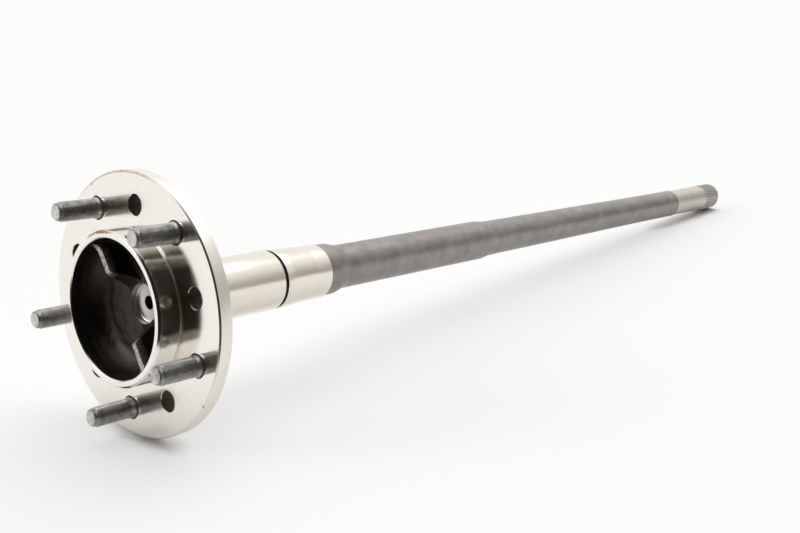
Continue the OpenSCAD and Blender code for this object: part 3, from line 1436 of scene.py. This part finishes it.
    def centre_hole(self) -> Shell:
        """The lathe centre hole in the spot face.

        Returns:
            The shell.
        """
        hole_end = self.spot_z + self.centre_depth
        corners = [
            Corner(0, hole_end + self.centre_r * math.tan(CENTRE_CONE)),
            Corner(self.centre_r, hole_end),
            Corner(self.centre_r, self.spot_z + self.edge_blend),
        ]
        return Shell.lathed(corners, HOLE_SEGMENTS)

    def build(self) -> dict[str, Shell]:
        """Make the pilot and its relief, the cup, the spot face and the hole in it.

        Returns:
            Each piece's shell, by the piece's name.
        """
        pilot, relief = self.pilot()
        return {
            "hub_pilot": pilot,
            "pilot_relief": relief,
            "hub_cup": self.cup(),
            "spot_face": self.spot_face(),
            "centre_hole": self.centre_hole(),
        }

    def dress(self) -> dict[str, Finish]:
        """Choose turned steel with rust on the lip's top, black scale in the cup, bright spot face.

        Returns:
            Each piece's finish, by the piece's name.
        """
        rusty = (
            RustyEdge(
                r=self.radius - self.rust_inset,
                z=self.lip_z,
                width=1.5,
                middle=math.radians(164),
                half_turn=math.radians(18),
            ),
            RustSpot(centre=(-46.5, 26.6, self.lip_z), size=2.4),
        )
        black = ForgedScale(
            dark=(0.008, 0.0065, 0.005),
            pale=(0.021, 0.017, 0.014),
            warm=(0.020, 0.014, 0.010),
            gloss=(1.0, 0.84, 0.70),
            roughness=0.38,
            metallic=0.0,
            pit=Grain(2.0, 4.0, 0.6),
            pit_depth=0.8,
        )
        return {
            "hub_pilot": MachinedSteel(
                roughness=0.19, rust=(0.40, 0.19, 0.02), rusty=rusty, rust_share=1.8
            ),
            "pilot_relief": MachinedSteel(roughness=0.46),
            "hub_cup": black,
            "spot_face": MachinedSteel(
                roughness=0.34, bright=(0.80, 0.77, 0.73), dull=(0.58, 0.55, 0.51), mark_depth=0.02
            ),
            "centre_hole": black,
        }


@dataclass
class BearingSeats(SubAssembly):
    """Ground seats for the bearing and its collar, with the ring groove and its land between."""

    bearing_r: float
    collar_r: float
    start_z: float = 45.0
    groove_z: float = 122.0
    groove_w: float = 3.2
    groove_depth: float = 1.3
    groove_lip: float = 0.35
    land_r: float = 23.05
    land_l: float = 8.0
    land_lead: float = 26.0
    land_blend: float = 60.0
    end_z: float = 174.0
    chamfer: float = 0.8
    edge_blend: float = 0.15

    @property
    def end_r(self) -> float:
        """Radius at the end of the collar seat."""
        return self.collar_r - self.chamfer

    def build(self) -> dict[str, Shell]:
        """Make the two seats and the groove between them.

        Returns:
            Each piece's shell, by the piece's name.
        """
        land_z = self.groove_z + self.groove_w
        land_end = land_z + self.land_l
        groove_r = self.land_r - self.groove_depth
        seat_edge = Corner(self.bearing_r - self.groove_lip, self.groove_z)
        land_edge = Corner(self.land_r - self.groove_lip, land_z)
        sections = {
            "bearing_seat": [
                Corner(self.bearing_r, self.start_z),
                Corner(self.bearing_r, self.groove_z, self.edge_blend),
                seat_edge,
            ],
            "ring_groove": [
                seat_edge,
                Corner(groove_r, self.groove_z, self.edge_blend),
                Corner(groove_r, land_z, self.edge_blend),
                land_edge,
            ],
            "collar_seat": [
                land_edge,
                Corner(self.land_r, land_z, self.edge_blend),
                Corner(self.land_r, land_end, self.land_blend),
                Corner(self.collar_r, land_end + self.land_lead, self.land_blend),
                Corner(self.collar_r, self.end_z - self.chamfer, self.edge_blend),
                Corner(self.end_r, self.end_z),
            ],
        }
        return {name: Shell.lathed(corners, SHAFT_SEGMENTS) for name, corners in sections.items()}

    def dress(self) -> dict[str, Finish]:
        """Choose ground seats, and a groove darkened with grime and painted shade.

        Returns:
            Each piece's finish, by the piece's name.
        """
        ground = MachinedSteel(roughness=0.2, bright=(0.91, 0.865, 0.785), dull=(0.80, 0.74, 0.655))
        # Near black in the narrow groove: grime and painted shade in the recess.
        grime_and_shade = ForgedScale(dark=(0.02, 0.017, 0.014), pale=(0.06, 0.05, 0.04), metallic=0.3)
        return {"bearing_seat": ground, "ring_groove": grime_and_shade, "collar_seat": ground}


@dataclass
class ForgedShaft(SubAssembly):
    """The shaft as forged: a shoulder, a thick part, a step, and a thin part that tapers."""

    start_r: float
    start_z: float
    end_z: float
    shoulder_l: float = 12.0
    thick_r: float = 18.1
    lead_l: float = 12.0
    step_z: float = 386.0
    step_l: float = 12.0
    thin_r: float = 16.5
    thin_end_r: float = 15.2
    taper_z: float = 690.0
    edge_blend: float = 6.0
    ring_step: float = 2.2
    lump: float = 24.0
    relief: float = 0.14
    fine_lump: float = 5.0
    fine_relief: float = 0.05
    relief_fade: float = 6.0

    def build(self) -> dict[str, Shell]:
        """Make the shaft with its forging lumps, which only cut into it.

        Returns:
            The piece's shell, by the piece's name.
        """
        lead_z = self.start_z + self.shoulder_l
        corners = [
            Corner(self.start_r, self.start_z),
            Corner(self.start_r, lead_z, self.edge_blend),
            Corner(self.thick_r, lead_z + self.lead_l, self.edge_blend),
            Corner(self.thick_r, self.step_z, self.edge_blend),
            Corner(self.thin_r, self.step_z + self.step_l, self.edge_blend),
            Corner(self.thin_end_r, self.taper_z, self.edge_blend),
            Corner(self.thin_end_r, self.end_z),
        ]
        shell = Shell.lathed(corners, SHAFT_SEGMENTS, self.ring_step)
        points = shell.points[0]
        depth = (roughness_of(points, self.lump) + 1) / 2 * self.relief
        depth += (roughness_of(points, self.fine_lump) + 1) / 2 * self.fine_relief
        fade = ramp(points[:, 2] - self.start_z, self.relief_fade)
        fade *= ramp(self.end_z - points[:, 2], self.relief_fade)
        sink(points, depth * fade)
        return {"forged_shaft": shell}

    def dress(self) -> dict[str, Finish]:
        """Choose grey scale with faint rings.

        Returns:
            The piece's finish, by the piece's name.
        """
        scale = ForgedScale(
            dark=(0.265, 0.245, 0.234),
            pale=(0.375, 0.349, 0.337),
            warm=(0.29, 0.245, 0.215),
            roughness=0.37,
            metallic=0.85,
            ring_share=0.06,
        )
        return {"forged_shaft": scale}


@dataclass
class SplinedEnd(SubAssembly):
    """Turned band and splined end, with its chamfer and the lathe centre in its face."""

    tip_r: float
    spline_l: float
    end_z: float
    start_r: float = 15.2
    start_z: float = 763.0
    start_chamfer: float = 0.8
    band_r: float = 14.7
    band_step: float = 4.0
    teeth: int = 30
    tooth_depth: float = 1.3
    tip_share: float = 0.15
    root_share: float = 0.32
    steps_a_tooth: int = 16
    run_out: float = 9.0
    crown_slope: float = 0.6
    lead_rings: int = 14
    body_rings: int = 8
    nose_rings: int = 5
    end_chamfer: float = 1.6
    edge_blend: float = 0.2
    centre_r: float = 3.0
    centre_pilot_r: float = 1.2

    @property
    def spline_z(self) -> float:
        """Station where the spline starts."""
        return self.end_z - self.spline_l

    def band(self) -> Shell:
        """The turned band before the spline.

        Returns:
            The shell.
        """
        corners = [
            Corner(self.start_r, self.start_z),
            Corner(self.band_r, self.start_z + self.start_chamfer, self.edge_blend),
            Corner(self.band_r, self.spline_z),
        ]
        return Shell.lathed(corners, SHAFT_SEGMENTS, self.band_step)

    def tooth_height(self, angle: np.ndarray) -> np.ndarray:
        """Height of a tooth over its root, from 0 to 1.

        Args:
            angle: Angles round the axle.

        Returns:
            The heights, with rounded tips and roots.
        """
        share = np.abs((angle * self.teeth / FULL_TURN + 0.5) % 1 - 0.5)
        flank = ramp(self.root_share - share, self.root_share - self.tip_share)
        smooth = flank * flank * (3 - 2 * flank)
        return (smooth + flank) / 2

    def spline(self) -> Shell:
        """The teeth, which run out into the band and are chamfered at the end of the shaft.

        Returns:
            The shell.
        """
        count = self.teeth * self.steps_a_tooth
        angles = np.arange(count)[None, :] * FULL_TURN / count
        root_r = self.tip_r - self.tooth_depth
        lead = np.linspace(self.spline_z, self.spline_z + self.run_out, self.lead_rings)
        body = np.linspace(lead[-1], self.end_z - self.end_chamfer, self.body_rings)[1:]
        nose = np.linspace(body[-1], self.end_z, self.nose_rings)[1:]
        z = np.concatenate([lead, body, nose])[:, None]
        in_run = ramp(z - self.spline_z, self.run_out)
        floor = self.band_r + (root_r - self.band_r) * np.sin(in_run * math.pi / 2)
        crown = np.minimum(self.tip_r, self.band_r + (z - self.spline_z) * self.crown_slope)
        radius = floor + (crown - floor) * self.tooth_height(angles)
        bevel = np.clip(z - self.end_z + self.end_chamfer, 0, None)
        radius = np.minimum(radius, self.tip_r - bevel)
        shell = Shell()
        shell.net(turned(radius, angles, z))
        cone_l = (self.centre_r - self.centre_pilot_r) / math.tan(CENTRE_CONE)
        face = [
            Corner(radius[-1].min(), self.end_z),
            Corner(self.centre_r, self.end_z, self.edge_blend),
            Corner(self.centre_pilot_r, self.end_z - cone_l),
            Corner(self.centre_pilot_r, self.end_z - cone_l - self.centre_r),
            Corner(0, self.end_z - cone_l - self.centre_r),
        ]
        shell.revolve(rounded(face), count)
        return shell

    def build(self) -> dict[str, Shell]:
        """The band and the spline."""
        return {"turned_band": self.band(), "splined_end": self.spline()}

    def dress(self) -> dict[str, Finish]:
        """Choose turned steel for the band and hobbed steel for the spline.

        Returns:
            Each piece's finish, by the piece's name.
        """
        return {
            "turned_band": MachinedSteel(
                roughness=0.42, bright=(0.76, 0.71, 0.64), dull=(0.50, 0.46, 0.41), stain_share=0.8
            ),
            "splined_end": MachinedSteel(
                lay=ToolLay.LENGTHWISE,
                roughness=0.42,
                bright=(0.60, 0.57, 0.54),
                dull=(0.42, 0.39, 0.37),
            ),
        }


@dataclass
class WheelStuds(SubAssembly):
    """Wheel studs pressed into the flange: threaded in front, serrated in it, with a round head."""

    count: int
    circle_r: float
    thread_r: float
    turn: float = STUD_TURN
    flange_t: float = FLANGE_T
    shank_r: float = SHANK_R
    reach: float = 33.0
    shank_step: float = 1.4
    pitch: float = 1.5
    thread_depth: float = 0.85
    root_flat: float = 0.125
    crest_flat: float = 0.25
    run_out: float = 1.0
    tip_r: float = 5.2
    tip_chamfer: float = 0.9
    tip_blend: float = 0.1
    lead_r: float = 6.35
    lead_l: float = 2.6
    lead_slope: float = 0.6
    thread_end: float = 4.2
    neck_l: float = 1.0
    rings_a_turn: int = 8
    segments: int = 64
    serrations: int = 32
    serration_depth: float = 0.12
    serration_start: float = 0.5
    steps_a_serration: int = 4
    head_r: float = 11.5
    head_t: float = 4.5
    head_bevel: float = 1.8
    edge_blend: float = 0.35
    ring_step: float = 2.0
    crest_rub: float = 0.6
    collar_rub: float = 0.45

    node = "wheel_studs"
    slot = "stud_steel"

    def thread(self, z: np.ndarray, angle: np.ndarray) -> np.ndarray:
        """Height of the thread over its root, from 0 to 1.

        Args:
            z: Stations.
            angle: Angles round the stud.

        Returns:
            The heights, with flat crests and roots.
        """
        share = np.abs((z / self.pitch + angle / FULL_TURN) % 1 - 0.5) * 2
        root = 1 - self.root_flat
        return ramp(root - share, root - self.crest_flat)

    def threaded_part(self, shell: Shell, centre: np.ndarray) -> None:
        """Add the chamfered tip and the thread down to the shank.

        Args:
            shell: The stud's shell.
            centre: The stud's centre on the wheel face.
        """
        angles = np.arange(self.segments)[None, :] * FULL_TURN / self.segments
        thread_z = self.lead_l - self.reach
        step = self.pitch / self.rings_a_turn
        z = np.arange(thread_z, -self.thread_end, step)[:, None]
        crown = np.minimum(self.thread_r, self.lead_r + (z - thread_z) * self.lead_slope)
        rising = np.clip(z + self.thread_end + self.run_out, 0, self.run_out)
        root = np.minimum(self.thread_r - self.thread_depth + rising, crown)
        high = self.thread(z, angles)
        radius = root + (crown - root) * high
        front = rounded([
            Corner(0, -self.reach),
            Corner(self.tip_r, -self.reach, self.tip_blend),
            Corner(self.tip_r + self.tip_chamfer, self.tip_chamfer - self.reach, self.edge_blend),
            Corner(self.lead_r, thread_z),
        ])
        tip = turned(front[:-1, 0][:, None], angles, front[:-1, 1][:, None])
        end_face = np.broadcast_to(front[:-1, 0][:, None] <= self.tip_r, tip.shape[:2])
        upper_half = np.clip(high * 2 - 1, 0, 1)
        crest = np.concatenate([end_face, upper_half * self.crest_rub])
        shell.net(np.concatenate([tip, turned(radius, angles, z)]) + centre, crest)

    def pressed_part(self, shell: Shell, centre: np.ndarray) -> None:
        """Add the collar, the serrated shank in the flange and the head behind it.

        Args:
            shell: The stud's shell.
            centre: The stud's centre on the wheel face.
        """
        neck_z = self.neck_l - self.thread_end
        head_end = self.flange_t + self.head_t
        corners = [
            Corner(self.thread_r, -self.thread_end),
            Corner(self.thread_r, neck_z, self.edge_blend),
            Corner(self.shank_r, -self.shank_step, self.edge_blend),
            Corner(self.shank_r, self.flange_t),
            Corner(self.head_r, self.flange_t, self.edge_blend),
            Corner(self.head_r, head_end - self.head_bevel, self.edge_blend),
            Corner(self.head_r - self.head_bevel, head_end, self.edge_blend),
            Corner(0, head_end),
        ]
        section = rounded(corners, self.ring_step)
        count = self.serrations * self.steps_a_serration
        angles = np.arange(count)[None, :] * FULL_TURN / count
        r, z = section[:, 0][:, None], section[:, 1][:, None]
        on_shank = (z > self.serration_start) & (z < self.flange_t) & (r > self.thread_r)
        r = r - self.serration_depth * (1 + np.cos(angles * self.serrations)) / 2 * on_shank
        collar = np.broadcast_to(self.collar_rub * (z < 0), r.shape)
        shell.net(turned(r, angles, z) + centre, collar)

    def build(self) -> dict[str, Shell]:
        """Make each stud in its own shell.

        Returns:
            Each piece's shell, by the piece's name.
        """
        shells = {}
        for i in range(self.count):
            angle = self.turn + i * FULL_TURN / self.count
            centre = self.circle_r * np.array((math.cos(angle), math.sin(angle), 0.0))
            shell = Shell()
            self.threaded_part(shell, centre)
            self.pressed_part(shell, centre)
            shells[f"wheel_stud_{i + 1}"] = shell
        return shells

    def dress(self) -> dict[str, Finish]:
        """Phosphate on every stud."""
        finish = PhosphateSteel()
        return {f"wheel_stud_{i + 1}": finish for i in range(self.count)}


@dataclass(frozen=True)
class SunLamp:
    """A broad, distant lamp: its strength, its width as an angle, and where it stands."""

    name: str
    strength: float
    spread: float
    stands: Point

    def light(self) -> None:
        """Hang the lamp."""
        lamp = bpy.data.lights.new(self.name, "SUN")
        lamp.energy = self.strength
        lamp.angle = self.spread
        hung = bpy.data.objects.new(self.name, lamp)
        hung.rotation_euler = Vector(self.stands).to_track_quat("Z", "Y").to_euler()
        bpy.context.scene.collection.objects.link(hung)


@dataclass
class Studio:
    """Pale floor, soft light from above and behind, and the camera of the photograph."""

    axle: AxleFrame
    floor_z: float
    floor_size: float = 60.0
    front_edge: float = 0.53
    backdrop: Colour = (0.96, 0.96, 0.95)
    room: Colour = (0.012, 0.009, 0.005)
    room_side: Point = (-0.60, -0.72, 0.30)
    room_turns: Span = (math.radians(74), math.radians(52))
    wall: Colour = (0.38, 0.36, 0.32)
    wall_side: Point = (0.87, -0.5, 0.0)
    wall_turns: Span = (math.radians(42), 0.0)
    wall_rise: Span = (0.08, 0.92)
    lamps: tuple[SunLamp, ...] = (
        SunLamp("top_lamp", strength=1.1, spread=math.radians(70), stands=(0.25, 0.05, 0.97)),
        SunLamp("side_lamp", strength=0.55, spread=math.radians(20), stands=(-0.70, 0.50, 0.45)),
    )
    lens: float = 49.33
    sensor: float = 36.0
    sight: Span = (0.01, 100.0)
    camera_at: Point = (-0.40986, -0.61312, 0.25213)
    looks_along: Point = (0.71185, 0.63552, -0.29898)

    def floor(self) -> None:
        """Lay the floor under the part, with its front edge just out of the camera's sight."""
        ahead = Vector(self.looks_along[:2]).normalized()
        aside = Vector((ahead.y, -ahead.x)) * self.floor_size / 2
        front = Vector(self.camera_at[:2]) + ahead * self.front_edge
        back = front + ahead * self.floor_size
        corners = (front - aside, front + aside, back + aside, back - aside)
        mesh = bpy.data.meshes.new("floor")
        mesh.from_pydata([(*corner, self.floor_z) for corner in corners], [], [(0, 1, 2, 3)])
        mesh.materials.append(PaleFloor().material("floor_paint", self.axle))
        laid = bpy.data.objects.new("floor", mesh)
        bpy.context.scene.collection.objects.link(laid)

    @staticmethod
    def facing(graph: Graph, toward: Wire, side: Point, turns: Span) -> Wire:
        """How far a ray looks to a side of the studio.

        Args:
            graph: The world's nodes.
            toward: The ray's direction.
            side: The side's direction.
            turns: Angles from that side at which the share is 0, and at which it reaches 1.

        Returns:
            A value from 0 to 1.
        """
        sockets = {0: toward, 1: tuple(Vector(side).normalized())}
        ahead = graph.node("ShaderNodeVectorMath", {"operation": "DOT_PRODUCT"}, sockets, "Value")
        return ahead.rise(*(math.cos(turn) for turn in turns))

    def light(self) -> None:
        """Light a pale studio, whose grey wall and unlit side the camera doesn't see directly."""
        scene = bpy.context.scene
        world = bpy.data.worlds.new("studio")
        world.use_nodes = True
        scene.world = world
        graph = Graph(world.node_tree)
        toward = graph.node("ShaderNodeTexCoord", {}, {}, "Generated")
        up = graph.node("ShaderNodeSeparateXYZ", {}, {0: toward}, "Z")
        in_front = self.facing(graph, toward, self.wall_side, self.wall_turns)
        in_room = self.facing(graph, toward, self.room_side, self.room_turns)
        front = graph.mix(up.rise(*self.wall_rise), self.wall, self.backdrop)
        glow = graph.mix(in_room, graph.mix(in_front, self.backdrop, front), self.room)
        in_view = graph.ray("Camera").larger(graph.ray("Transmission"))
        seen = graph.mix(in_view, glow, self.backdrop)
        lit = graph.node("ShaderNodeBackground", {}, {"Color": seen, "Strength": 1.0})
        graph.add("ShaderNodeOutputWorld", {}, {"Surface": lit})
        for lamp in self.lamps:
            lamp.light()
        scene.view_settings.view_transform = "Standard"

    def camera(self) -> None:
        """Stand the camera where the photograph was taken from."""
        lens = bpy.data.cameras.new("camera")
        lens.lens = self.lens
        lens.sensor_width = self.sensor
        lens.clip_start, lens.clip_end = self.sight
        stand = bpy.data.objects.new("camera", lens)
        stand.location = self.camera_at
        stand.rotation_euler = Vector(self.looks_along).to_track_quat("-Z", "Y").to_euler()
        bpy.context.scene.collection.objects.link(stand)
        bpy.context.scene.camera = stand

    def set_up(self) -> None:
        """Lay the floor, light it and stand the camera."""
        self.floor()
        self.light()
        self.camera()


def main() -> None:
    """Build the axle shaft's sub-assemblies in order, then the studio round them."""
    logging.basicConfig(level=logging.INFO, format="%(message)s")
    axle = AxleFrame.from_record()
    low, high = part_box("axle_shaft")
    studs = mount_of("wheel_studs")["dims"]
    pilot_r = mount_of("hub_pilot")["dims"]["r_mm"]
    bearing_r = mount_of("bearing_seat")["dims"]["r_mm"]
    collar_r = mount_of("collar_seat")["dims"]["r_mm"]
    spline = mount_of("spline_end")["dims"]
    flange_r = (high.y - low.y) / 2 / METRES_PER_MM
    shaft_end = axle.station("spline_end") + spline["length_mm"] / 2
    web_turn = STUD_TURN + 2 * FULL_TURN / studs["count"]
    face_r = pilot_r + RELIEF_REACH
    seats = BearingSeats(axle, bearing_r, collar_r)
    for group in (
        WheelFlange(axle, radius=flange_r, face_r=face_r, seat_r=bearing_r),
        HubPilot(axle, radius=pilot_r, face_r=face_r, web_turn=web_turn),
        seats,
        ForgedShaft(axle, start_r=seats.end_r, start_z=seats.end_z, end_z=SplinedEnd.start_z),
        SplinedEnd(axle, tip_r=spline["r_mm"], spline_l=spline["length_mm"], end_z=shaft_end),
        WheelStuds(
            axle,
            count=studs["count"],
            circle_r=studs["pcd_mm"] / 2,
            thread_r=studs["stud_r_mm"],
        ),
    ):
        group.place()
    Studio(axle, low.z).set_up()


if __name__ == "__main__":
    main()
